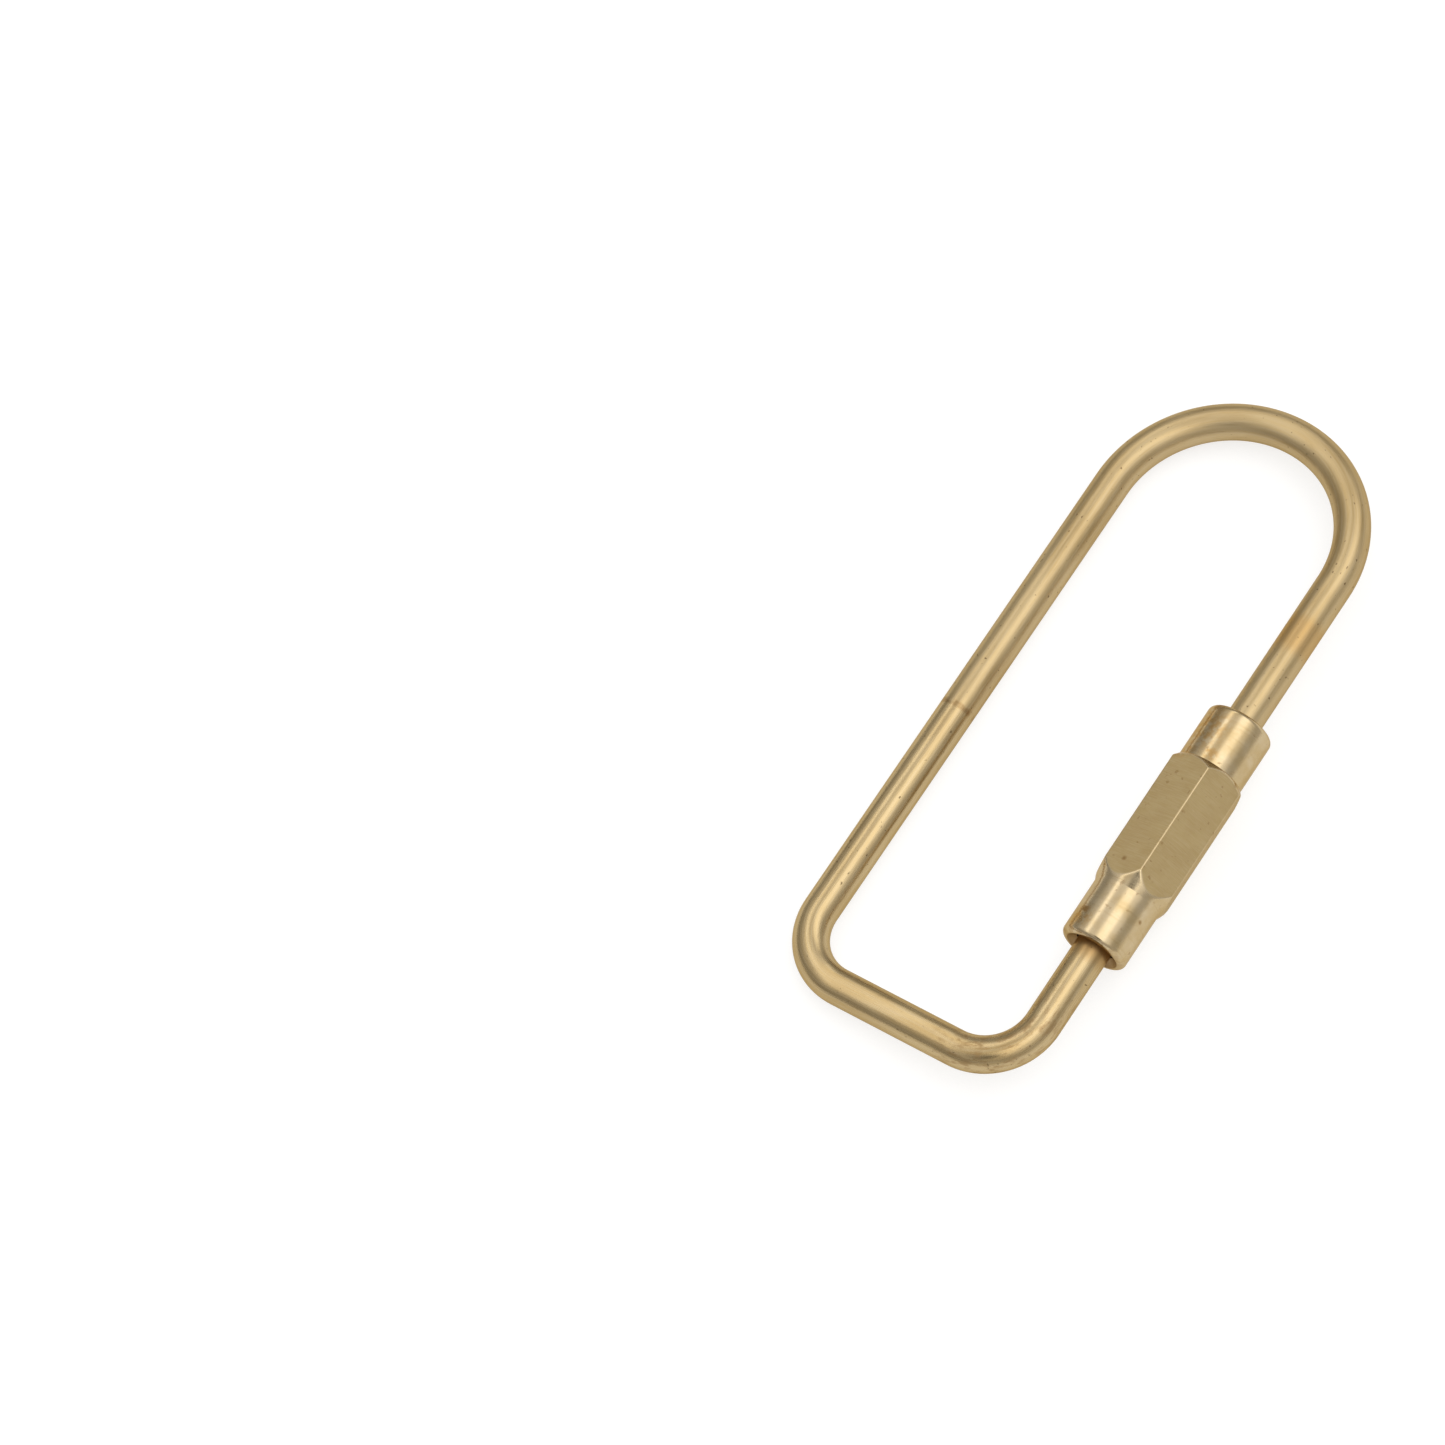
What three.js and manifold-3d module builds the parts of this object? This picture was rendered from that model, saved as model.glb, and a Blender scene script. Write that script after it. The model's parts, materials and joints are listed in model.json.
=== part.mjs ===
// Screw-lock key ring in brass: one bent rod whose two threaded ends meet inside a hexagonal sleeve.
// Turning the sleeve on its right-hand thread drives it along the leg and opens the gap between the ends.
//
// Millimetres, +Z up. X runs along the ring, from the crossbar at -X to the round bow at +X. The ring lies
// on a flat surface: its plain leg touches it, and so does one corner edge of the hexagon, so the ring
// tilts slightly. The origin is the middle of the base of the whole part's bounding box.
//
// Everything is made in the ring's own plane first: x = 0 is the crossbar's centre line, the plain leg is
// at y = +LEG_Y and the sleeve's leg at y = -LEG_Y. One group then tilts the ring onto the surface.
import * as THREE from 'three';
import { mergeVertices } from 'three/addons/utils/BufferGeometryUtils.js';
import Module from 'manifold-3d';

const wasm = await Module();
wasm.setup();

// ---- Driving dimensions ----

// The bent rod
const ROD_RADIUS = 1.5;
const LOOP_LENGTH = 62;
const LOOP_WIDTH = 24;
const CORNER_RADIUS = 5;

// The sleeve
const SLEEVE_START = 12.1;
const SLEEVE_LENGTH = 22.4;
const COLLAR_RADIUS = 2.85;
const COLLAR_LENGTH = 5.05;
const RIM_RADIUS = 0.5;
const HEX_ACROSS_FLATS = 6.15;
const LOWER_CONE_DEG = 24;
const UPPER_CHAMFER_DEG = 40;
const UPPER_CHAMFER_RADIUS = 2.95;
const HEX_CORNER_FROM_DOWN_DEG = 11;

// The sleeve's bore, from its lower mouth to its upper end
const MOUTH_RADIUS = 1.7;
const MOUTH_CHAMFER = 0.55;
const MOUTH_DEPTH = 1.2;
const NUT_THREAD_LENGTH = 9.1;
const RELIEF_RADIUS = 1.75;
const POCKET_RADIUS = 2.3;
const POCKET_LENGTH = 4.1;
const LIP_RADIUS = 1.7;
const LIP_LENGTH = 0.4;

// The plain bush in the upper collar
const BUSH_BORE_RADIUS = 1.62;
const BUSH_RADIUS = 2.15;
const BUSH_END_PLAY = 0.15;
const BUSH_CHAMFER = 0.25;

// The thread, and the gap between the rod's ends
const THREAD_PITCH = 0.75;
const THREAD_ROOT_RADIUS = 1.17;
const THREAD_DEPTH = 0.3;
const THREAD_CLEARANCE = 0.13;
const OPEN_TRAVEL = 9;
const OPEN_TIP_SHOWS = 0.2;
const ENTRY_GAP = 4.2;
const THREAD_START = 13.2;
const THREAD_RUNOUT = 0.75;
const TIP_CHAMFER = 0.35;

// How finely curves are divided
const ROD_SIDES = 16;
const ROD_STEP = 1.25;
const COLLAR_SIDES = 36;
const RIM_STEPS = 4;
const THREAD_SIDES = 16;
const THREAD_ROWS_PER_PITCH = 6;

// Small allowances for making solids
const ON_WALL = 0.001;
const BAR_ALLOWANCE = 0.01;
const CUT_PAST_END = 1;

// ---- Sizes that follow from them ----

const LEG_Y = LOOP_WIDTH / 2 - ROD_RADIUS;
const BOW_RADIUS = LEG_Y;
const BOW_CENTRE_X = LOOP_LENGTH - 2 * ROD_RADIUS - BOW_RADIUS;
const SLEEVE_END = SLEEVE_START + SLEEVE_LENGTH;
const HEX_CORNER_RADIUS = HEX_ACROSS_FLATS / Math.sqrt(3);
const UPPER_TIP = SLEEVE_START + OPEN_TRAVEL - OPEN_TIP_SHOWS;
const LOWER_TIP = UPPER_TIP - ENTRY_GAP;
const NUT_THREAD_START = SLEEVE_START + MOUTH_DEPTH;
const NUT_THREAD_END = NUT_THREAD_START + NUT_THREAD_LENGTH;
const UPPER_THREAD_END = NUT_THREAD_END + OPEN_TRAVEL + THREAD_RUNOUT;
const NUT_THREAD_RADIUS = THREAD_ROOT_RADIUS + THREAD_DEPTH + THREAD_CLEARANCE;
const POCKET_END = SLEEVE_END - LIP_LENGTH;
const POCKET_START = POCKET_END - POCKET_LENGTH;

// The plain leg and the hexagon's lowest corner edge lie on the same surface.
const degrees = THREE.MathUtils.degToRad;
const HEX_CORNER_DROP = HEX_CORNER_RADIUS * Math.cos(degrees(HEX_CORNER_FROM_DOWN_DEG));
const TILT = Math.asin((HEX_CORNER_DROP - ROD_RADIUS) / (2 * LEG_Y));

const brass = (color, roughness) => new THREE.MeshStandardMaterial({ color, roughness, metalness: 1 });

// ---- Helpers ----

// A closed three.js geometry as a solid that can be joined and cut.
function solid(geometry) {
  geometry.deleteAttribute('normal');
  geometry.deleteAttribute('uv');
  const merged = mergeVertices(geometry);
  const index = merged.index.array;
  const corners = [];
  for (let i = 0; i < index.length; i += 3) {
    const [a, b, c] = [index[i], index[i + 1], index[i + 2]];
    if (a !== b && b !== c && c !== a) corners.push(a, b, c);
  }
  const vertProperties = new Float32Array(merged.attributes.position.array);
  return new wasm.Manifold(new wasm.Mesh({ numProp: 3, vertProperties, triVerts: new Uint32Array(corners) }));
}

// A solid as a named three.js mesh.
function meshOf(body, name, material) {
  const { vertProperties, triVerts } = body.getMesh();
  const geometry = new THREE.BufferGeometry();
  geometry.setAttribute('position', new THREE.BufferAttribute(new Float32Array(vertProperties), 3));
  geometry.setIndex(new THREE.BufferAttribute(new Uint32Array(triVerts), 1));
  geometry.computeVertexNormals();
  const mesh = new THREE.Mesh(geometry, material);
  mesh.name = name;
  return mesh;
}

// A turned shape about the X axis. Each profile point is [x, radius], and x grows along the profile.
function turned(profile, sides) {
  const points = profile.map(([x, radius]) => new THREE.Vector2(radius, x));
  return new THREE.LatheGeometry(points, sides).rotateZ(-Math.PI / 2);
}

// Profile points of a rounded outer rim, from radius - rim at the end face to the full radius, or back.
function rim(faceX, radius, direction) {
  const points = [];
  for (let i = 0; i <= RIM_STEPS; i++) {
    const turn = (Math.PI / 2) * (i / RIM_STEPS);
    const inward = RIM_RADIUS * (1 - Math.sin(turn));
    const along = RIM_RADIUS * (1 - Math.cos(turn));
    points.push([faceX + direction * along, radius - inward]);
  }
  return direction > 0 ? points : points.reverse();
}

// ---- The thread: a right-hand helix about X, the same in the rod and the sleeve, so they are in mesh ----

// How much of the thread's height is there at x, for a thread that runs out over its ends.
function runout(x, from, to) {
  const inside = Math.min(x - from, to - x);
  return THREE.MathUtils.smoothstep(inside, 0, THREAD_RUNOUT);
}

// Profile points between from and to, close enough together to carry the thread.
function threadRows(from, to, radius) {
  const count = Math.ceil(((to - from) / THREAD_PITCH) * THREAD_ROWS_PER_PITCH);
  return Array.from({ length: count + 1 }, (_, i) => [from + ((to - from) * i) / count, radius]);
}

// Moves a turned shape's wall along the helix. Only points at the given radius are on that wall. The rod's
// ridges stand out from its root (side 1), and the sleeve's stand in from its groove (side -1).
function cutThread(geometry, from, to, radius, side) {
  const position = geometry.attributes.position;
  for (let i = 0; i < position.count; i++) {
    const x = position.getX(i);
    const y = position.getY(i);
    const z = position.getZ(i);
    const onWall = Math.abs(Math.hypot(y, z) - radius) < ON_WALL;
    if (x < from || x > to || !onWall) continue;
    const phase = (2 * Math.PI * x) / THREAD_PITCH - Math.atan2(z, y);
    const ridge = THREAD_DEPTH * runout(x, from, to) * ((Math.cos(phase) + side) / 2);
    const scale = 1 + ridge / radius;
    position.setXYZ(i, x, y * scale, z * scale);
  }
  return geometry;
}

// One threaded end of the rod. Its root goes into the rod, and its tip is chamfered.
function threadedEnd(rootX, tipX) {
  const direction = Math.sign(tipX - rootX);
  const from = Math.min(rootX, tipX);
  const to = Math.max(rootX, tipX);
  const wall = threadRows(from, to, THREAD_ROOT_RADIUS);
  const rootEnd = rootX - direction * ROD_RADIUS;
  const tipEnd = tipX + direction * TIP_CHAMFER;
  const root = [[rootEnd, 0], [rootEnd, THREAD_ROOT_RADIUS]];
  const tip = [[tipEnd, THREAD_ROOT_RADIUS - TIP_CHAMFER], [tipEnd, 0]];
  const profile = direction > 0 ? [...root, ...wall, ...tip] : [...tip.reverse(), ...wall, ...root.reverse()];
  return solid(cutThread(turned(profile, THREAD_SIDES), from, to, THREAD_ROOT_RADIUS, 1));
}

// ---- The bent rod ----

// An arc in the ring's plane.
class PlaneArc extends THREE.Curve {
  constructor(centreX, centreY, radius, fromAngle, toAngle) {
    super();
    Object.assign(this, { centreX, centreY, radius, fromAngle, toAngle });
  }

  getPoint(t, target = new THREE.Vector3()) {
    const angle = this.fromAngle + (this.toAngle - this.fromAngle) * t;
    const x = this.centreX + this.radius * Math.cos(angle);
    return target.set(x, this.centreY + this.radius * Math.sin(angle), 0);
  }
}

function straight(x0, y0, x1, y1) {
  return new THREE.LineCurve3(new THREE.Vector3(x0, y0, 0), new THREE.Vector3(x1, y1, 0));
}

// The rod's centre line: down the sleeve's leg, along the crossbar, up the plain leg, round the bow and back.
function rodPath() {
  const cornerY = LEG_Y - CORNER_RADIUS;
  const path = new THREE.CurvePath();
  path.add(straight(THREAD_START, -LEG_Y, CORNER_RADIUS, -LEG_Y));
  path.add(new PlaneArc(CORNER_RADIUS, -cornerY, CORNER_RADIUS, -Math.PI / 2, -Math.PI));
  path.add(straight(0, -cornerY, 0, cornerY));
  path.add(new PlaneArc(CORNER_RADIUS, cornerY, CORNER_RADIUS, Math.PI, Math.PI / 2));
  path.add(straight(CORNER_RADIUS, LEG_Y, BOW_CENTRE_X, LEG_Y));
  path.add(new PlaneArc(BOW_CENTRE_X, 0, BOW_RADIUS, Math.PI / 2, -Math.PI / 2));
  path.add(straight(BOW_CENTRE_X, -LEG_Y, UPPER_THREAD_END, -LEG_Y));
  return path;
}

function wireLoop() {
  const section = new THREE.Shape().absarc(0, 0, ROD_RADIUS, 0, 2 * Math.PI);
  const path = rodPath();
  const steps = Math.round(path.getLength() / ROD_STEP);
  const curveSegments = ROD_SIDES / 2; // a full circle gets two sides for each of these
  const rod = new THREE.ExtrudeGeometry(section, { steps, curveSegments, extrudePath: path });
  const lower = threadedEnd(THREAD_START, LOWER_TIP - TIP_CHAMFER);
  const upper = threadedEnd(UPPER_THREAD_END, UPPER_TIP + TIP_CHAMFER);
  const body = solid(rod).translate([0, LEG_Y, 0]).add(lower).add(upper).translate([0, -LEG_Y, 0]);
  return meshOf(body, 'wire_loop', brass(0xb8965a, 0.34));
}

// ---- The sleeve and its bush ----

// The outside: two round collars and a hexagon between them, with a long cone below it and a short
// chamfer above it.
function sleeveOutside() {
  const coneStart = SLEEVE_START + COLLAR_LENGTH;
  const hexEnd = SLEEVE_END - COLLAR_LENGTH;
  const coneEnd = coneStart + (HEX_CORNER_RADIUS - COLLAR_RADIUS) / Math.tan(degrees(LOWER_CONE_DEG));
  const chamfer = (HEX_CORNER_RADIUS - UPPER_CHAMFER_RADIUS) / Math.tan(degrees(UPPER_CHAMFER_DEG));
  const barRadius = HEX_CORNER_RADIUS + BAR_ALLOWANCE;
  const bar = turned([
    [SLEEVE_START, 0],
    ...rim(SLEEVE_START, COLLAR_RADIUS, 1),
    [coneStart, COLLAR_RADIUS],
    [coneEnd, barRadius],
    [hexEnd - chamfer, barRadius],
    [hexEnd, UPPER_CHAMFER_RADIUS],
    [hexEnd, COLLAR_RADIUS],
    ...rim(SLEEVE_END, COLLAR_RADIUS, -1),
    [SLEEVE_END, 0],
  ], COLLAR_SIDES);
  return solid(bar).intersect(hexPrism());
}

// A long hexagonal prism about X. One corner edge is HEX_CORNER_FROM_DOWN_DEG from straight down.
function hexPrism() {
  const prism = new THREE.CylinderGeometry(HEX_CORNER_RADIUS, HEX_CORNER_RADIUS, 3 * SLEEVE_LENGTH, 6);
  prism.rotateZ(-Math.PI / 2);
  prism.rotateX(degrees(HEX_CORNER_FROM_DOWN_DEG) + TILT);
  return solid(prism.translate(SLEEVE_START + SLEEVE_LENGTH / 2, 0, 0));
}

// The bore as a solid to cut away: mouth, thread, relief, bush pocket and the lip that keeps the bush in.
function sleeveBore() {
  const bore = turned([
    [SLEEVE_START - CUT_PAST_END, 0],
    [SLEEVE_START - CUT_PAST_END, MOUTH_RADIUS + MOUTH_CHAMFER],
    [SLEEVE_START, MOUTH_RADIUS + MOUTH_CHAMFER],
    [SLEEVE_START + MOUTH_CHAMFER, MOUTH_RADIUS],
    [NUT_THREAD_START, MOUTH_RADIUS],
    ...threadRows(NUT_THREAD_START, NUT_THREAD_END, NUT_THREAD_RADIUS),
    [NUT_THREAD_END, RELIEF_RADIUS],
    [POCKET_START, RELIEF_RADIUS],
    [POCKET_START, POCKET_RADIUS],
    [POCKET_END, POCKET_RADIUS],
    [POCKET_END, LIP_RADIUS],
    [SLEEVE_END + CUT_PAST_END, LIP_RADIUS],
    [SLEEVE_END + CUT_PAST_END, 0],
  ], THREAD_SIDES);
  return solid(cutThread(bore, NUT_THREAD_START, NUT_THREAD_END, NUT_THREAD_RADIUS, -1));
}

function hexSleeve() {
  const body = sleeveOutside().subtract(sleeveBore()).translate([0, -LEG_Y, 0]);
  return meshOf(body, 'hex_sleeve', brass(0xc2a067, 0.26));
}

function guideBush() {
  const from = POCKET_START + BUSH_END_PLAY;
  const to = POCKET_END - BUSH_END_PLAY;
  const ring = turned([
    [from, BUSH_BORE_RADIUS],
    [from, BUSH_RADIUS - BUSH_CHAMFER],
    [from + BUSH_CHAMFER, BUSH_RADIUS],
    [to - BUSH_CHAMFER, BUSH_RADIUS],
    [to, BUSH_RADIUS - BUSH_CHAMFER],
    [to, BUSH_BORE_RADIUS],
    [from, BUSH_BORE_RADIUS],
  ], COLLAR_SIDES);
  return meshOf(solid(ring).translate([0, -LEG_Y, 0]), 'guide_bush', brass(0xb08f52, 0.4));
}

// ---- The ring on its surface ----

const group = new THREE.Group();
const ring = new THREE.Group();
ring.add(wireLoop(), hexSleeve(), guideBush());
ring.rotation.x = -TILT;
group.add(ring);

const box = new THREE.Box3().setFromObject(group, true);
const middle = box.getCenter(new THREE.Vector3());
ring.position.set(-middle.x, -middle.y, -box.min.z);

export default group;
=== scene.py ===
"""Looks for the screw-lock key ring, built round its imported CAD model. Metres, in the part's own frame.

Shapes are made in millimetres in the ring's own plane first, as the CAD does: x runs from the crossbar's
centre line to the bow, the plain leg is at y = +leg_y and the sleeve's leg at y = -leg_y.
"""
import json
import math

import bmesh
import bpy
from mathutils import Matrix, Vector


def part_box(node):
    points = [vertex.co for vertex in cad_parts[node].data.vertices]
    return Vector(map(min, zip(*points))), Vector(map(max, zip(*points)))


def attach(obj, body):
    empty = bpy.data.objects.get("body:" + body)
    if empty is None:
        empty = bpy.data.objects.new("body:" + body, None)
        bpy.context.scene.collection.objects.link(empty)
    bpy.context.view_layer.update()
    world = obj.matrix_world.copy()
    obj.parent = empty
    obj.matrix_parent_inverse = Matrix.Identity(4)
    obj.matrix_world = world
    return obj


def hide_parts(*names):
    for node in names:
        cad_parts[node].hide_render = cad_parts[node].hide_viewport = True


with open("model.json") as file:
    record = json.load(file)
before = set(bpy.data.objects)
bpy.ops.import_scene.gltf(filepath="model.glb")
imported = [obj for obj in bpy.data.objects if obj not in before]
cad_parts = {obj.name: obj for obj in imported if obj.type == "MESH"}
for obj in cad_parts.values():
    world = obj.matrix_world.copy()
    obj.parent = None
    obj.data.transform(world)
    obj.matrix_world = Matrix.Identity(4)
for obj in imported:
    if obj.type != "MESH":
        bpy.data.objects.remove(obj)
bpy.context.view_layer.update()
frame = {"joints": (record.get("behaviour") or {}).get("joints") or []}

MM = 0.001

# ---- Sizes, in millimetres ----

ROD_RADIUS = 1.5
CORNER_RADIUS = 5.0
COLLAR_RADIUS = 2.85
COLLAR_LENGTH = 5.05
RIM_RADIUS = 0.5
HEX_APOTHEM = 3.075
HEX_CORNER_RADIUS = HEX_APOTHEM / math.cos(math.pi / 6)
CONE_ANGLE = math.radians(24)
CHAMFER_ANGLE = math.radians(40)
CHAMFER_RADIUS = 2.95
MOUTH_RADIUS = 1.7
MOUTH_CHAMFER = 0.55
MOUTH_DEPTH = 1.2
NUT_THREAD_LENGTH = 9.1
RELIEF_RADIUS = 1.75
POCKET_RADIUS = 2.3
POCKET_LENGTH = 4.1
LIP_RADIUS = 1.7
LIP_LENGTH = 0.4
LIP_CHAMFER = 0.1
BUSH_BORE_RADIUS = 1.62
BUSH_RADIUS = 2.15
BUSH_CHAMFER = 0.25
THREAD_PITCH = 0.75
THREAD_ROOT_RADIUS = 1.17
THREAD_DEPTH = 0.3
THREAD_CLEARANCE = 0.13
THREAD_RUNOUT = 0.75
TIP_CHAMFER = 0.35
ENTRY_GAP = 4.2
OPEN_TIP_SHOWS = 0.2
SHOULDER_IN_MOUTH = 1.1
SHOULDER_CHAMFER = 0.12

# How fine the visible meshes are
ROD_SIDES = 64
BORE_COLUMNS_STEP = 3
THREAD_ROWS = 14
SHARP_ANGLE = math.radians(24)
EDGE_BLEND = 0.09
BORDER_BLEND = 0.07

# ---- Where things are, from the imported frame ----

loop_low, loop_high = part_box("wire_loop")
sleeve_low, sleeve_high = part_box("hex_sleeve")
bush_low, bush_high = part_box("guide_bush")
joints = {joint["name"]: joint for joint in frame["joints"]}
sleeve_axis = Vector(joints["sleeve_turn"]["pos_m"]) / MM
open_travel = joints["sleeve_travel"]["range_m"][1] / MM

crossbar_x = loop_low.x / MM + ROD_RADIUS
plain_y = loop_high.y / MM - ROD_RADIUS
leg_y = math.hypot(plain_y - sleeve_axis.y, sleeve_axis.z - ROD_RADIUS) / 2
tilt = math.atan2(sleeve_axis.z - ROD_RADIUS, plain_y - sleeve_axis.y)
ring_middle = Vector((crossbar_x, (plain_y + sleeve_axis.y) / 2, (ROD_RADIUS + sleeve_axis.z) / 2))
RING = (
    Matrix.Scale(MM, 4)
    @ Matrix.Translation(ring_middle)
    @ Matrix.Rotation(-tilt, 4, "X")
)

bow_centre_x = loop_high.x / MM - crossbar_x - ROD_RADIUS - leg_y
sleeve_start = sleeve_low.x / MM - crossbar_x
sleeve_end = sleeve_high.x / MM - crossbar_x
bush_start = bush_low.x / MM - crossbar_x
bush_end = bush_high.x / MM - crossbar_x
nut_start = sleeve_start + MOUTH_DEPTH
nut_end = nut_start + NUT_THREAD_LENGTH
upper_tip = sleeve_start + open_travel - OPEN_TIP_SHOWS
lower_tip = upper_tip - ENTRY_GAP
lower_shoulder = sleeve_start + SHOULDER_IN_MOUTH
upper_shoulder = nut_end + open_travel + THREAD_RUNOUT

# The lowest corner edge of the hexagon lies on the surface, so its angle follows from the axis height.
corner_from_down = math.acos(sleeve_axis.z / HEX_CORNER_RADIUS)
first_flat = corner_from_down + tilt


# ---- Mesh helpers ----

def smooth(low, high, value):
    t = min(max((value - low) / (high - low), 0.0), 1.0)
    return t * t * (3 - 2 * t)


def blend_min(a, b, width):
    """The smaller of two radii, rounded where they meet, and how near to that meeting it is."""
    near = max(width - abs(a - b), 0.0) / width
    return min(a, b) - near * near * width / 4, near


class Skin:
    """Rings of points joined into one closed surface. Points are in millimetres, in the ring's plane."""

    def __init__(self):
        self.points = []
        self.faces = []
        self.values = {}

    def ring(self, points, **values):
        start = len(self.points)
        self.points.extend(points)
        for name, found in values.items():
            self.values.setdefault(name, []).extend(found)
        return list(range(start, len(self.points)))

    def join(self, a, b):
        """Quads between two rings, or wider faces where a has a whole number of times b's points."""
        step = len(a) // len(b)
        for i in range(len(b)):
            near = [a[(i * step + k) % len(a)] for k in range(step + 1)]
            self.faces.append(near + [b[(i + 1) % len(b)], b[i]])

    def cap(self, ring):
        self.faces.append(list(ring))


def piece(name, skin, material, body, node):
    """The skin as a mesh object that stands for a CAD node and rides on its body."""
    mesh = bpy.data.meshes.new(name)
    mesh.from_pydata([tuple(RING @ Vector(p)) for p in skin.points], [], skin.faces)
    for label, found in skin.values.items():
        kind = "FLOAT_VECTOR" if isinstance(found[0], (tuple, Vector)) else "FLOAT"
        layer = mesh.attributes.new(label, kind, "POINT")
        if kind == "FLOAT":
            layer.data.foreach_set("value", found)
        else:
            layer.data.foreach_set("vector", [c for v in found for c in v])
    shape = bmesh.new()
    shape.from_mesh(mesh)
    bmesh.ops.recalc_face_normals(shape, faces=shape.faces)
    shape.to_mesh(mesh)
    shape.free()
    mesh.shade_smooth()
    mesh.set_sharp_from_angle(angle=SHARP_ANGLE)
    mesh.materials.append(material)
    made = bpy.data.objects.new(name, mesh)
    bpy.context.scene.collection.objects.link(made)
    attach(made, body)
    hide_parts(node)
    return made


# ---- The thread: a right-hand helix about X, the same in the rod and the sleeve ----

def ridge(x, angle):
    return smooth(-0.85, 0.85, math.cos(2 * math.pi * x / THREAD_PITCH - angle))


def thread_height(x, start, end):
    return THREAD_DEPTH * smooth(0, THREAD_RUNOUT, min(x - start, end - x))


def spread(start, end, count):
    return [start + (end - start) * i / count for i in range(count + 1)]


def thread_stations(start, end):
    return spread(start, end, round(abs(end - start) / THREAD_PITCH * THREAD_ROWS))


# ---- The bent rod ----

class RodPath:
    """The rod's centre line with a radius at each station, from one threaded tip round to the other."""

    def __init__(self):
        self.stations = []
        self.length = 0.0
        self.marks = {}

    def add(self, x, y, heading, radius, height=0.0):
        if self.stations:
            last = self.stations[-1]
            self.length += math.hypot(x - last[0], y - last[1])
        self.stations.append((x, y, heading, radius, height, self.length))

    def leg(self, xs, y, heading, radius=ROD_RADIUS):
        for x in xs:
            self.add(x, y, heading, radius)

    def bend(self, centre_x, centre_y, radius, start, end, step):
        turn = math.copysign(math.pi / 2, end - start)
        for angle in spread(start, end, round(abs(end - start) * radius / step)):
            x = centre_x + radius * math.cos(angle)
            y = centre_y + radius * math.sin(angle)
            self.add(x, y, angle + turn, ROD_RADIUS)


def rod_path():
    path = RodPath()
    back = math.pi
    path.add(lower_tip, -leg_y, back, THREAD_ROOT_RADIUS - TIP_CHAMFER)
    tip = lower_tip - TIP_CHAMFER
    for x in thread_stations(tip, lower_shoulder):
        path.add(x, -leg_y, back, THREAD_ROOT_RADIUS, thread_height(x, lower_shoulder, tip))
    path.add(lower_shoulder, -leg_y, back, ROD_RADIUS - SHOULDER_CHAMFER)
    path.add(lower_shoulder - SHOULDER_CHAMFER, -leg_y, back, ROD_RADIUS)
    path.marks["mouth"] = path.length
    path.leg(spread(lower_shoulder - 0.5, CORNER_RADIUS + 0.5, 12), -leg_y, back)
    quarter = math.pi / 2
    path.bend(CORNER_RADIUS, -leg_y + CORNER_RADIUS, CORNER_RADIUS, -quarter, -math.pi, 0.3)
    path.marks["sleeve corner"] = path.length
    for y in spread(-leg_y + CORNER_RADIUS + 0.5, leg_y - CORNER_RADIUS - 0.5, 12):
        path.add(0, y, quarter, ROD_RADIUS)
    path.bend(CORNER_RADIUS, leg_y - CORNER_RADIUS, CORNER_RADIUS, math.pi, quarter, 0.3)
    path.marks["plain leg"] = path.length - CORNER_RADIUS
    path.leg(spread(CORNER_RADIUS + 0.5, bow_centre_x - 0.5, 44), leg_y, 0)
    path.bend(bow_centre_x, 0, leg_y, quarter, -quarter, 0.35)
    path.marks["sleeve leg"] = path.length + bow_centre_x
    path.leg(spread(bow_centre_x - 0.5, upper_shoulder + SHOULDER_CHAMFER, 17), -leg_y, back)
    path.add(upper_shoulder, -leg_y, back, ROD_RADIUS - SHOULDER_CHAMFER)
    tip = upper_tip + TIP_CHAMFER
    for x in thread_stations(upper_shoulder, tip):
        path.add(x, -leg_y, back, THREAD_ROOT_RADIUS, thread_height(x, tip, upper_shoulder))
    path.add(upper_tip, -leg_y, back, THREAD_ROOT_RADIUS - TIP_CHAMFER)
    return path


def rod_skin(path):
    """The rod. Its grain attribute is the rod pulled straight: length, then the two directions across."""
    skin = Skin()
    last = None
    for x, y, heading, radius, height, length in path.stations:
        across = Vector((-math.sin(heading), math.cos(heading), 0))
        points, grain = [], []
        for k in range(ROD_SIDES):
            angle = 2 * math.pi * k / ROD_SIDES
            out = across * math.cos(angle) + Vector((0, 0, math.sin(angle)))
            r = radius + height * ridge(x, math.atan2(out.z, out.y))
            points.append(Vector((x, y, 0)) + out * r)
            grain.append((length, r * math.cos(angle), r * math.sin(angle)))
        ring = skin.ring(points, grain=grain)
        if last:
            skin.join(last, ring)
        else:
            skin.cap(ring)
        last = ring
    skin.cap(last)
    return skin


# ---- The sleeve ----

def column_angles():
    """Angles round the sleeve, close together at the hexagon's corner edges."""
    edge = [0, 0.35, 0.7, 1.05, 1.4, 1.9]
    sector = edge + spread(1.9, 58.1, 50)[1:-1] + [60 - e for e in reversed(edge[1:])]
    corner = math.degrees(first_flat) + 30
    return [math.radians(corner + 60 * k + a) for k in range(6) for a in sector]


def hex_radius(angle):
    """Distance to the hexagon at an angle, with its corner edges rounded, and how near an edge it is."""
    turn = (angle - first_flat) % (math.pi / 3)
    here = HEX_APOTHEM / math.cos(turn)
    other = HEX_APOTHEM / math.cos(math.pi / 3 - turn)
    return blend_min(here, other, EDGE_BLEND)


def rim_rows(face_x, direction):
    rows = []
    for turn in spread(0, math.pi / 2, 12):
        inward = RIM_RADIUS * (1 - math.sin(turn))
        along = RIM_RADIUS * (1 - math.cos(turn))
        rows.append((face_x + direction * along, COLLAR_RADIUS - inward))
    return rows if direction > 0 else rows[::-1]


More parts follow.
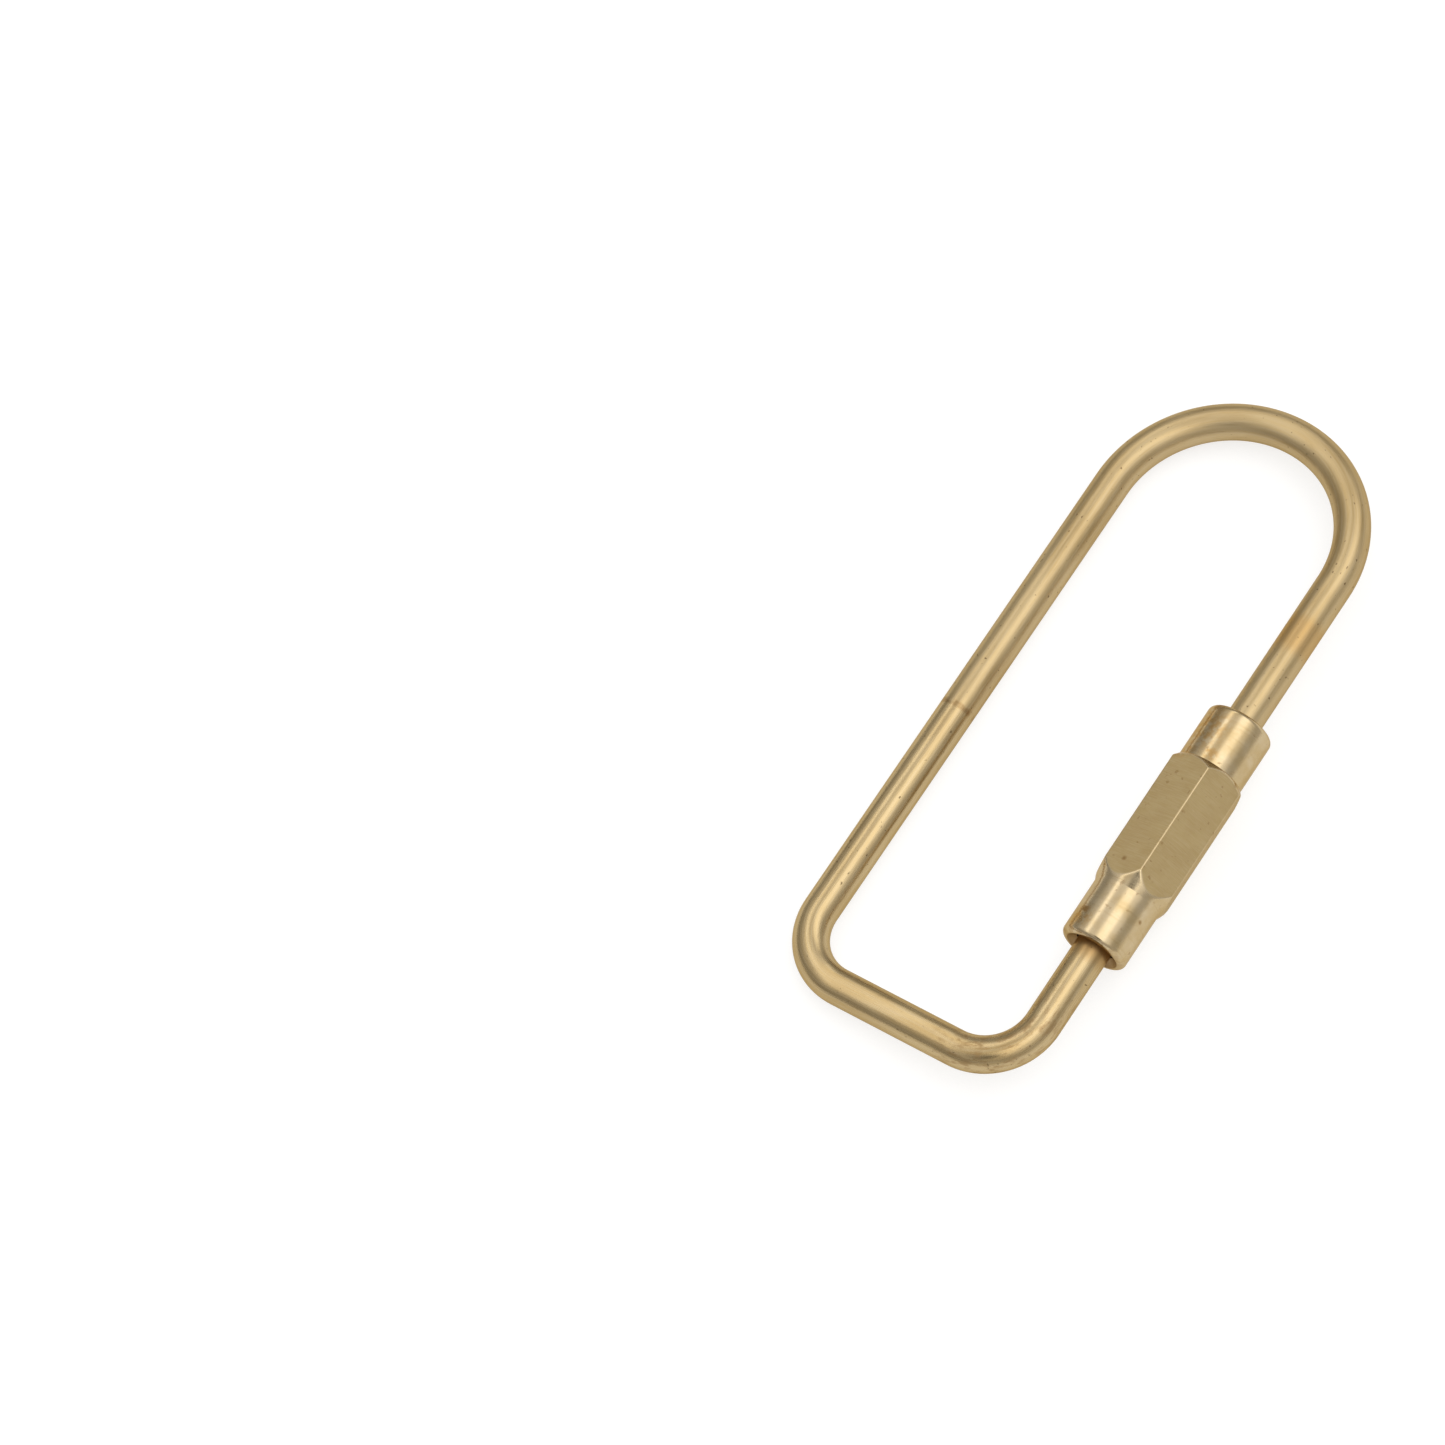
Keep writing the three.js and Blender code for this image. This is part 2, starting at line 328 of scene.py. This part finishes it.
def outside_rows():
    """Rows of (x, radius of the turned shape) from the lower end to the upper one."""
    bar = HEX_CORNER_RADIUS + 0.2
    cone_start = sleeve_start + COLLAR_LENGTH
    cone_end = cone_start + (bar - COLLAR_RADIUS) / math.tan(CONE_ANGLE)
    hex_end = sleeve_end - COLLAR_LENGTH
    chamfer_start = hex_end - (bar - CHAMFER_RADIUS) / math.tan(CHAMFER_ANGLE)
    rows = rim_rows(sleeve_start, 1)
    rows += [(x, COLLAR_RADIUS) for x in spread(sleeve_start + 1, cone_start, 6)]
    rows += [
        (x, COLLAR_RADIUS + (x - cone_start) * math.tan(CONE_ANGLE))
        for x in spread(cone_start, cone_end, 48)[1:]
    ]
    rows += [(x, bar) for x in spread(cone_end, chamfer_start, 10)[1:-1]]
    rows += [
        (x, CHAMFER_RADIUS + (hex_end - x) * math.tan(CHAMFER_ANGLE))
        for x in spread(chamfer_start, hex_end, 26)
    ]
    rows += [(x, COLLAR_RADIUS) for x in spread(hex_end, sleeve_end - 1, 6)]
    return rows + rim_rows(sleeve_end, -1)


def bore_rows():
    """Rows of (x, radius, thread height) down the bore, from the upper end to the lower mouth."""
    pocket_end = sleeve_end - LIP_LENGTH
    pocket_start = pocket_end - POCKET_LENGTH
    nut_radius = THREAD_ROOT_RADIUS + THREAD_DEPTH + THREAD_CLEARANCE
    rows = [
        (sleeve_end, LIP_RADIUS + LIP_CHAMFER, 0),
        (sleeve_end - LIP_CHAMFER, LIP_RADIUS, 0),
        (pocket_end, LIP_RADIUS, 0),
        (pocket_end, POCKET_RADIUS, 0),
        (pocket_start, POCKET_RADIUS, 0),
        (pocket_start, RELIEF_RADIUS, 0),
    ]
    rows += [(x, RELIEF_RADIUS, 0) for x in spread(pocket_start - 0.5, nut_end, 8)]
    rows += [
        (x, nut_radius, thread_height(x, nut_start, nut_end))
        for x in thread_stations(nut_end, nut_start)
    ]
    rows += [
        (nut_start, MOUTH_RADIUS, 0),
        (sleeve_start + MOUTH_CHAMFER, MOUTH_RADIUS, 0),
        (sleeve_start, MOUTH_RADIUS + MOUTH_CHAMFER, 0),
    ]
    return rows


def sleeve_skin():
    """The sleeve. flat is 1 on the hexagon's flats, edge is 1 on its sharp edges and bore is 1 inside."""
    skin = Skin()
    angles = column_angles()

    def ring(x, radii, flat, edge, bore):
        points = []
        columns = angles if len(radii) == len(angles) else angles[::BORE_COLUMNS_STEP]
        for angle, r in zip(columns, radii):
            points.append(Vector((x, r * math.cos(angle) - leg_y, r * math.sin(angle))))
        grain = [(p.x - sleeve_start, p.y + leg_y, p.z) for p in points]
        return skin.ring(points, grain=grain, flat=flat, edge=edge, bore=[bore] * len(points))

    first, last = None, None
    for x, turned in outside_rows():
        radii, flat, edge = [], [], []
        for angle in angles:
            across, corner = hex_radius(angle)
            r, border = blend_min(turned, across, BORDER_BLEND)
            on_flat = smooth(-0.01, 0.03, turned - across)
            radii.append(r)
            flat.append(on_flat)
            edge.append(max(corner * on_flat, border))
        made = ring(x, radii, flat, edge, 0.0)
        if last:
            skin.join(last, made)
        first = first or made
        last = made
    inner = angles[::BORE_COLUMNS_STEP]
    for x, radius, height in bore_rows():
        radii = [radius - height * (1 - ridge(x, angle)) for angle in inner]
        none = [0.0] * len(inner)
        made = ring(x, radii, none, none, 1.0)
        skin.join(last, made)
        last = made
    skin.join(first, last)
    return skin


def bush_skin():
    skin = Skin()
    angles = [2 * math.pi * k / 96 for k in range(96)]
    profile = [
        (bush_start, BUSH_BORE_RADIUS),
        (bush_start, BUSH_RADIUS - BUSH_CHAMFER),
        (bush_start + BUSH_CHAMFER, BUSH_RADIUS),
        (bush_end - BUSH_CHAMFER, BUSH_RADIUS),
        (bush_end, BUSH_RADIUS - BUSH_CHAMFER),
        (bush_end, BUSH_BORE_RADIUS),
    ]
    rings = []
    for x, r in profile:
        points = [Vector((x, r * math.cos(a) - leg_y, r * math.sin(a))) for a in angles]
        grain = [(p.x - bush_start, p.y + leg_y, p.z) for p in points]
        rings.append(skin.ring(points, grain=grain))
    for a, b in zip(rings, rings[1:] + rings[:1]):
        skin.join(a, b)
    return skin


# ---- Materials ----

class Graph:
    """A short way to write a node tree."""

    def __init__(self, tree):
        self.tree = tree

    def node(self, kind, **settings):
        made = self.tree.nodes.new(kind)
        for name, value in settings.items():
            setattr(made, name, value)
        return made

    def feed(self, socket, value):
        if isinstance(value, bpy.types.NodeSocket):
            self.tree.links.new(value, socket)
        else:
            socket.default_value = value

    def attribute(self, name, output="Fac"):
        return self.node("ShaderNodeAttribute", attribute_name=name).outputs[output]

    def math(self, operation, a, b=0.0, clamp=False):
        made = self.node("ShaderNodeMath", operation=operation, use_clamp=clamp)
        self.feed(made.inputs[0], a)
        self.feed(made.inputs[1], b)
        return made.outputs[0]

    def scaled(self, vector, scale):
        made = self.node("ShaderNodeMapping")
        self.feed(made.inputs["Vector"], vector)
        made.inputs["Scale"].default_value = scale
        return made.outputs["Vector"]

    def noise(self, vector, scale, detail=3.0, rough=0.5, distortion=0.0):
        made = self.node("ShaderNodeTexNoise")
        self.feed(made.inputs["Vector"], self.scaled(vector, scale))
        made.inputs["Scale"].default_value = 1.0
        made.inputs["Detail"].default_value = detail
        made.inputs["Roughness"].default_value = rough
        made.inputs["Distortion"].default_value = distortion
        return made.outputs["Fac"]

    def between(self, value, low, high, to_low=0.0, to_high=1.0):
        made = self.node("ShaderNodeMapRange", interpolation_type="SMOOTHSTEP")
        self.feed(made.inputs["Value"], value)
        limits = {"From Min": low, "From Max": high, "To Min": to_low, "To Max": to_high}
        for name, number in limits.items():
            made.inputs[name].default_value = number
        return made.outputs["Result"]

    def mix(self, factor, a, b):
        made = self.node("ShaderNodeMix", data_type="RGBA")
        self.feed(made.inputs["Factor"], factor)
        self.feed(made.inputs[6], a)
        self.feed(made.inputs[7], b)
        return made.outputs[2]

    def mix_value(self, factor, a, b):
        made = self.node("ShaderNodeMix", data_type="FLOAT")
        self.feed(made.inputs["Factor"], factor)
        self.feed(made.inputs[2], a)
        self.feed(made.inputs[3], b)
        return made.outputs[0]

    def bump(self, height, distance, strength=1.0, below=None):
        made = self.node("ShaderNodeBump")
        self.feed(made.inputs["Height"], height)
        self.feed(made.inputs["Strength"], strength)
        made.inputs["Distance"].default_value = distance
        if below is not None:
            self.feed(made.inputs["Normal"], below)
        return made.outputs["Normal"]

    def band(self, value, middle, half, soft):
        """1 within half of middle, falling to 0 over soft."""
        off = self.math("ABSOLUTE", self.math("SUBTRACT", value, middle))
        return self.between(off, half, half + soft, 1.0, 0.0)

    def spot(self, position, centre, radius, soft):
        """1 near a point, falling to 0."""
        made = self.node("ShaderNodeVectorMath", operation="DISTANCE")
        self.feed(made.inputs[0], position)
        made.inputs[1].default_value = centre
        return self.between(made.outputs["Value"], radius, radius + soft, 1.0, 0.0)

    def times(self, *values):
        result = values[0]
        for value in values[1:]:
            result = self.math("MULTIPLY", result, value)
        return result


def metal(name):
    material = bpy.data.materials.new(name)
    material.use_nodes = True
    shader = material.node_tree.nodes["Principled BSDF"]
    shader.inputs["Metallic"].default_value = 1.0
    shader.inputs["Specular Tint"].default_value = GRAZING
    return material, Graph(material.node_tree), shader


BRASS = (0.48, 0.362, 0.190, 1)
BRASS_PALE = (0.545, 0.438, 0.275, 1)
BRASS_DEEP = (0.40, 0.284, 0.130, 1)
TARNISH_AND_SHADE = (0.26, 0.150, 0.058, 1)
AMBER = (0.45, 0.275, 0.098, 1)
TAN = (0.46, 0.348, 0.170, 1)
PATINA = (0.08, 0.045, 0.018, 1)
GRAZING = (0.70, 0.60, 0.45, 1)

# The side of the sleeve with the clearest marks, as an angle about its axis from +Y towards +Z
MARKED_SIDE = math.radians(111.7)


def on_sleeve(along, across, radius):
    """A place on the sleeve: mm from its lower end, and mm across the marked side towards -Y."""
    angle = MARKED_SIDE + math.asin(across / radius)
    return (along, radius * math.cos(angle), radius * math.sin(angle))


def rod_brass(path):
    material, g, shader = metal("drawn_brass")
    grain = g.attribute("grain", "Vector")
    split = g.node("ShaderNodeSeparateXYZ")
    g.feed(split.inputs[0], grain)
    length = split.outputs["X"]

    clouds = g.noise(grain, (0.11, 0.5, 0.5), 4, 0.55)
    lines = g.noise(grain, (0.25, 7.0, 7.0), 3, 0.6)
    fine = g.noise(grain, (1.2, 24.0, 24.0), 2, 0.6)
    grime = g.noise(grain, (0.9, 2.2, 2.2), 5, 0.7)

    colour = g.mix(g.between(clouds, 0.35, 0.68), BRASS, BRASS_DEEP)
    colour = g.mix(g.between(lines, 0.30, 0.75, 0.0, 0.45), colour, BRASS_PALE)

    corner = g.band(length, path.marks["sleeve corner"] - 4.5, 3.5, 4.0)
    # Painted shade where the rod goes into the sleeve's mouth: the mouth band darkens the rod and tints
    # it amber. Near the corner the darkening is real grime.
    mouth = g.band(length, path.marks["mouth"], 1.2, 1.6)
    stain_and_mouth_shade = g.math("MAXIMUM", g.times(corner, g.between(grime, 0.46, 0.66)), g.times(mouth, 0.8))
    gold = g.band(length, path.marks["sleeve leg"] - 43.0, 0.9, 1.3)
    # Amber: real colour on the gold band, painted shade at the mouth.
    colour = g.mix(g.times(g.math("MAXIMUM", gold, mouth), 0.55), colour, AMBER)
    colour = g.mix(g.times(stain_and_mouth_shade, 0.55), colour, TARNISH_AND_SHADE)

    seam = g.band(length, path.marks["plain leg"] + 25.0, 0.10, 0.28)
    seam = g.times(seam, g.between(g.noise(grain, (1.0, 1.3, 1.3), 2), 0.38, 0.55))
    colour = g.mix(g.times(seam, 0.6), colour, TARNISH_AND_SHADE)
    specks = g.between(g.noise(grain, (2.6, 3.4, 3.4), 2, 0.4), 0.70, 0.76)
    colour = g.mix(g.times(specks, 0.65), colour, PATINA)
    g.feed(shader.inputs["Base Color"], colour)

    # Below the seam the plain leg, the crossbar and the stub beside the sleeve are more polished.
    polished = g.between(length, path.marks["plain leg"] + 24.0, path.marks["plain leg"] + 26.5, 1.0, 0.0)
    rough = g.mix_value(polished, 0.36, 0.25)
    rough = g.math("ADD", rough, g.between(lines, 0.25, 0.8, -0.03, 0.05))
    rough = g.math("ADD", rough, g.times(g.math("MAXIMUM", stain_and_mouth_shade, specks), 0.12))
    g.feed(shader.inputs["Roughness"], rough)

    normal = g.bump(lines, 0.012 * MM, 0.5)
    normal = g.bump(fine, 0.004 * MM, 0.5, normal)
    normal = g.bump(grime, 0.02 * MM, 0.35, normal)
    g.feed(shader.inputs["Normal"], normal)
    return material


# Marks on the sleeve: mm from its lower end, mm across, radius of the surface there, size
AMBER_MARKS = (
    (20.0, -2.4, 2.85, 2.2),
    (1.2, -2.3, 2.85, 1.2),
    (17.3, -2.6, 3.0, 0.9),
    (18.0, -0.8, 2.95, 0.6),
)
DARK_MARKS = (
    (22.2, -2.2, 2.8, 0.6),
    (2.0, -2.25, 2.85, 0.45),
    (3.4, 1.9, 2.85, 0.22),
    (12.5, -0.1, 3.3, 0.22),
    (9.4, -0.15, 3.3, 0.2),
    (7.0, -1.95, 3.2, 0.25),
    (11.15, 2.3, 3.1, 0.2),
    (17.1, 2.2, 3.1, 0.25),
)


def sleeve_brass():
    material, g, shader = metal("turned_brass")
    grain = g.attribute("grain", "Vector")
    flat = g.attribute("flat")
    edge = g.attribute("edge")
    bore = g.attribute("bore")
    split = g.node("ShaderNodeSeparateXYZ")
    g.feed(split.inputs[0], grain)
    length = split.outputs["X"]

    turned = g.noise(grain, (16.0, 0.35, 0.35), 3, 0.65)
    wide = g.noise(grain, (3.5, 0.3, 0.3), 2, 0.5)
    brushed = g.noise(grain, (15.0, 0.7, 0.7), 4, 0.65, 0.2)
    clouds = g.noise(grain, (0.5, 0.6, 0.6), 3, 0.5)
    grime = g.noise(grain, (2.0, 2.0, 2.0), 4, 0.65)

    collar = g.mix(g.between(clouds, 0.35, 0.7), BRASS_PALE, BRASS)
    collar = g.mix(g.between(wide, 0.55, 0.75, 0.0, 0.3), collar, BRASS_DEEP)
    facet = g.mix(g.between(clouds, 0.35, 0.65, 0.0, 0.4), TAN, BRASS_DEEP)
    facet = g.mix(g.between(brushed, 0.40, 0.64, 0.0, 0.35), facet, BRASS_PALE)
    colour = g.mix(flat, collar, facet)
    # Painted highlight: the hexagon's corner edges and the borders of its flats are made paler.
    colour = g.mix(g.times(edge, 0.8), colour, BRASS_PALE)

    # Old lacquer left in streaks on the side that faces the plain leg, and dark spots of patina
    ragged = g.between(grime, 0.35, 0.6)
    for along, across, radius, size in AMBER_MARKS:
        here = g.spot(grain, on_sleeve(along, across, radius), size * 0.4, size)
        colour = g.mix(g.times(here, ragged, 0.85), colour, AMBER)
    dark = g.between(g.noise(grain, (1.9, 1.9, 1.9), 2, 0.4), 0.69, 0.74, 0.0, 0.5)
    for along, across, radius, size in DARK_MARKS:
        here = g.spot(grain, on_sleeve(along, across, radius), size * 0.3, size)
        dark = g.math("MAXIMUM", dark, g.times(here, g.between(grime, 0.30, 0.5)))
    colour = g.mix(g.times(dark, 0.8), colour, TARNISH_AND_SHADE)

    lower_end = g.band(length, 0.0, 0.05, 0.35)
    upper_end = g.band(length, sleeve_end - sleeve_start, 0.05, 0.35)
    ends = g.math("MAXIMUM", lower_end, upper_end)
    colour = g.mix(g.times(ends, ragged, 0.35), colour, TARNISH_AND_SHADE)
    # Painted shade: the inside of the bore is made darker.
    colour = g.mix(g.times(bore, 0.75), colour, TARNISH_AND_SHADE)
    g.feed(shader.inputs["Base Color"], colour)

    rough = g.mix_value(flat, 0.20, 0.50)
    rough = g.math("ADD", rough, g.between(turned, 0.3, 0.7, -0.03, 0.05))
    rough = g.mix_value(g.times(edge, 0.85), rough, 0.25)
    rough = g.mix_value(bore, rough, 0.45)
    rough = g.math("ADD", rough, g.times(dark, 0.15))
    g.feed(shader.inputs["Roughness"], rough)

    scratch = g.mix_value(flat, turned, brushed)
    strength = g.mix_value(flat, 0.25, 0.4)
    normal = g.bump(scratch, 0.008 * MM, strength)
    normal = g.bump(grime, 0.01 * MM, 0.25, normal)
    g.feed(shader.inputs["Normal"], normal)
    return material


def bush_brass():
    material, g, shader = metal("plain_brass")
    grain = g.attribute("grain", "Vector")
    turned = g.noise(grain, (14.0, 0.4, 0.4), 3, 0.6)
    clouds = g.noise(grain, (0.6, 0.6, 0.6), 3, 0.5)
    g.feed(shader.inputs["Base Color"], g.mix(g.between(clouds, 0.35, 0.65), BRASS, BRASS_DEEP))
    g.feed(shader.inputs["Roughness"], g.between(turned, 0.3, 0.7, 0.26, 0.38))
    g.feed(shader.inputs["Normal"], g.bump(turned, 0.01 * MM, 0.4))
    return material


# ---- The pieces ----

path = rod_path()
piece("rod", rod_skin(path), rod_brass(path), "loop", "wire_loop")
piece("sleeve", sleeve_skin(), sleeve_brass(), "sleeve", "hex_sleeve")
piece("bush", bush_skin(), bush_brass(), "bush", "guide_bush")


# ---- Floor, light and camera ----

FLOOR_HALF_WIDTH = 1.5
FLOOR_DROP = 0.02

def floor():
    mesh = bpy.data.meshes.new("floor")
    half = FLOOR_HALF_WIDTH
    corners = [(-half, -half, 0), (half, -half, 0), (half, half, 0), (-half, half, 0)]
    mesh.from_pydata(corners, [], [(0, 1, 2, 3)])
    material = bpy.data.materials.new("pale_paper")
    material.use_nodes = True
    g = Graph(material.node_tree)
    shader = material.node_tree.nodes["Principled BSDF"]
    place = g.node("ShaderNodeTexCoord").outputs["Object"]
    tone = g.noise(place, (9.0, 9.0, 9.0), 2)
    g.feed(shader.inputs["Base Color"], g.mix(tone, (0.34, 0.34, 0.34, 1), (0.36, 0.36, 0.36, 1)))
    shader.inputs["Roughness"].default_value = 0.9
    shader.inputs["Specular IOR Level"].default_value = 0.1
    shader.inputs["Emission Color"].default_value = (1.0, 1.0, 1.0, 1)
    shader.inputs["Emission Strength"].default_value = 0.72
    mesh.materials.append(material)
    made = bpy.data.objects.new("floor", mesh)
    made.location.z = -FLOOR_DROP * MM
    bpy.context.scene.collection.objects.link(made)


def studio():
    """Two soft boxes, a room darker in places and one dark patch, all as one background."""
    world = bpy.data.worlds.new("studio")
    bpy.context.scene.world = world
    world.use_nodes = True
    g = Graph(world.node_tree)
    background = world.node_tree.nodes["Background"]
    direction = g.node("ShaderNodeTexCoord").outputs["Generated"]
    split = g.node("ShaderNodeSeparateXYZ")
    g.feed(split.inputs[0], direction)
    height = split.outputs["Z"]

    def dot(towards):
        made = g.node("ShaderNodeVectorMath", operation="DOT_PRODUCT")
        g.feed(made.inputs[0], direction)
        made.inputs[1].default_value = towards
        return made.outputs["Value"]

    def softbox(towards, along, half_along, half_across, soft):
        """A rectangular light in a direction. Half sizes are tangents of the angles it spans."""
        centre = Vector(towards).normalized()
        side = Vector(along)
        side = (side - centre * side.dot(centre)).normalized()
        other = centre.cross(side)
        ahead = dot(centre)
        spans = []
        for axis, half in ((side, half_along), (other, half_across)):
            off = g.math("ABSOLUTE", g.math("DIVIDE", dot(axis), g.math("MAXIMUM", ahead, 0.001)))
            spans.append(g.between(off, half - soft, half + soft, 1.0, 0.0))
        return g.times(spans[0], spans[1], g.math("GREATER_THAN", ahead, 0.0))

    side = g.between(split.outputs["Y"], -0.30, 0.15)
    near_wall = g.between(height, 0.30, 0.65, 0.42, 0.80)
    near_room = g.math("ADD", near_wall, g.between(height, 0.7, 0.95, 0.0, 0.25))
    far_wall = g.between(height, 0.45, 0.70, 0.60, 1.20)
    far_room = g.math("ADD", far_wall, g.between(height, 0.02, 0.20, 0.3, 0.0))
    room = g.mix_value(side, far_room, near_room)
    near_box = softbox((0.25, 0.53, 0.85), (1, 0, 0), 1.1, 0.11, 0.04)
    far_box = softbox((0.25, -0.31, 0.95), (1, 0, 0), 1.1, 0.27, 0.10)
    light = g.math("ADD", room, g.times(near_box, 1.2))
    light = g.math("ADD", light, g.times(far_box, 0.9))
    dark = g.between(dot(Vector((-0.62, -0.13, 0.77)).normalized()), 0.96, 0.985, 1.0, 0.12)
    light = g.times(light, dark)
    g.feed(background.inputs["Strength"], light)
    background.inputs["Color"].default_value = (1.0, 0.985, 0.96, 1)


def camera():
    """Seen steeply from the crossbar's end, with the ring to the right of the middle."""
    turned = math.radians(41.052)
    raised = math.radians(63.4484)
    roll = math.radians(-17.2056)
    distance = 479.116
    aim_from_middle = Vector((-14.2946, 26.8665, 0))
    aim = Vector((0, ring_middle.y, 0)) + aim_from_middle
    look = Vector((
        math.sin(turned) * math.cos(raised),
        math.cos(turned) * math.cos(raised),
        -math.sin(raised),
    ))
    level = look.cross(Vector((0, 0, 1))).normalized()
    upright = level.cross(look)
    right = level * math.cos(roll) + upright * math.sin(roll)
    up = upright * math.cos(roll) - level * math.sin(roll)
    data = bpy.data.cameras.new("camera")
    data.lens = 148.218
    data.sensor_width = 36.0
    data.clip_start = 0.01
    data.clip_end = 10.0
    made = bpy.data.objects.new("camera", data)
    turn = Matrix((right, up, -look)).transposed().to_4x4()
    made.matrix_world = Matrix.Translation((aim - look * distance) * MM) @ turn
    bpy.context.scene.collection.objects.link(made)
    bpy.context.scene.camera = made


floor()
studio()
camera()
bpy.context.scene.view_settings.view_transform = "Standard"
